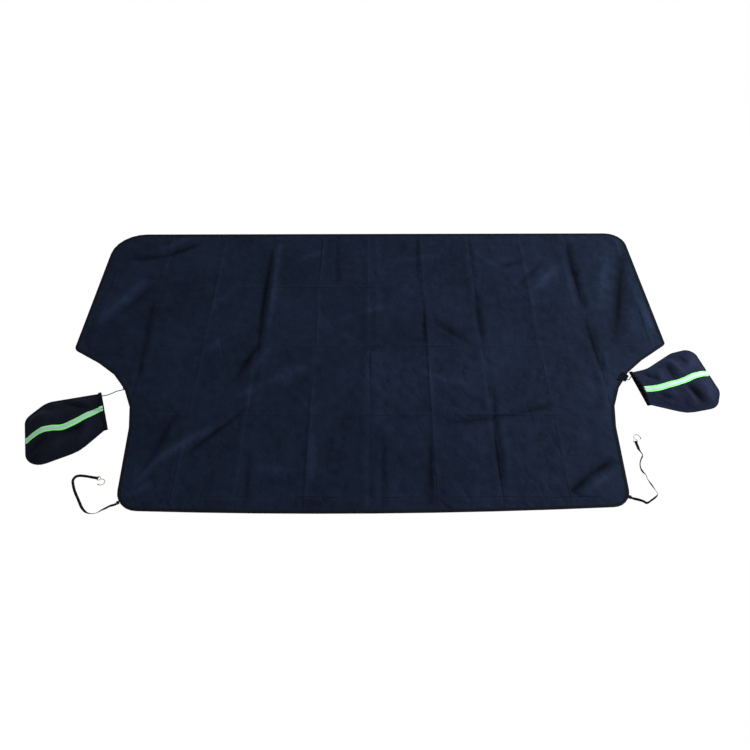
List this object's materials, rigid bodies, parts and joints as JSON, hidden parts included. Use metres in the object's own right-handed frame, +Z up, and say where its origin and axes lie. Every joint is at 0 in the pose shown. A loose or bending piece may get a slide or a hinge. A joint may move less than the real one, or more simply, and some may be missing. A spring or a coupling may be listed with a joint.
{
  "type": "windshield frost cover",
  "caption": "Flat cloth windshield frost cover with bound edge, side wings, tethered mirror bags and elastic hook straps at the lower corners.",
  "frame": {"origin": "middle of the cloth sheet's underside, on the level of the glass or floor that it lies on", "axes": "+X along the width, +Y to the roof edge, away from the bonnet edge, +Z up out of the sheet"},
  "size_m": [2.3066, 1.2719, 0.0271],
  "materials": {
    "cloth": "navy woven cloth, matt",
    "binding": "black woven binding tape",
    "bag_cloth": "navy woven cloth, matt",
    "hem": "gathered black elastic hem",
    "lime_tape": "lime woven tape",
    "silver_strip": "silver reflective strip",
    "elastic": "black ribbed elastic",
    "hook_wire": "plated wire",
    "hook_tip": "dipped plastic"
  },
  "bodies": {
    "root": {"edge_binding": "binding", "hook_left": "hook_wire", "hook_right": "hook_wire", "hook_tip_left": "hook_tip", "hook_tip_right": "hook_tip", "lime_tape_left": "lime_tape", "lime_tape_right": "lime_tape", "main_panel": "cloth", "mirror_bag_bottom_left": "bag_cloth", "mirror_bag_bottom_right": "bag_cloth", "mirror_bag_top_left": "bag_cloth", "mirror_bag_top_right": "bag_cloth", "mouth_hem_left": "hem", "mouth_hem_right": "hem", "silver_strip_left": "silver_strip", "silver_strip_right": "silver_strip", "strap_anchor_left": "elastic", "strap_anchor_right": "elastic", "strap_left": "elastic", "strap_loop_left": "elastic", "strap_loop_right": "elastic", "strap_right": "elastic", "tether_left": "elastic", "tether_right": "elastic", "tether_tab_left": "binding", "tether_tab_right": "binding"}
  },
  "joints": []
}
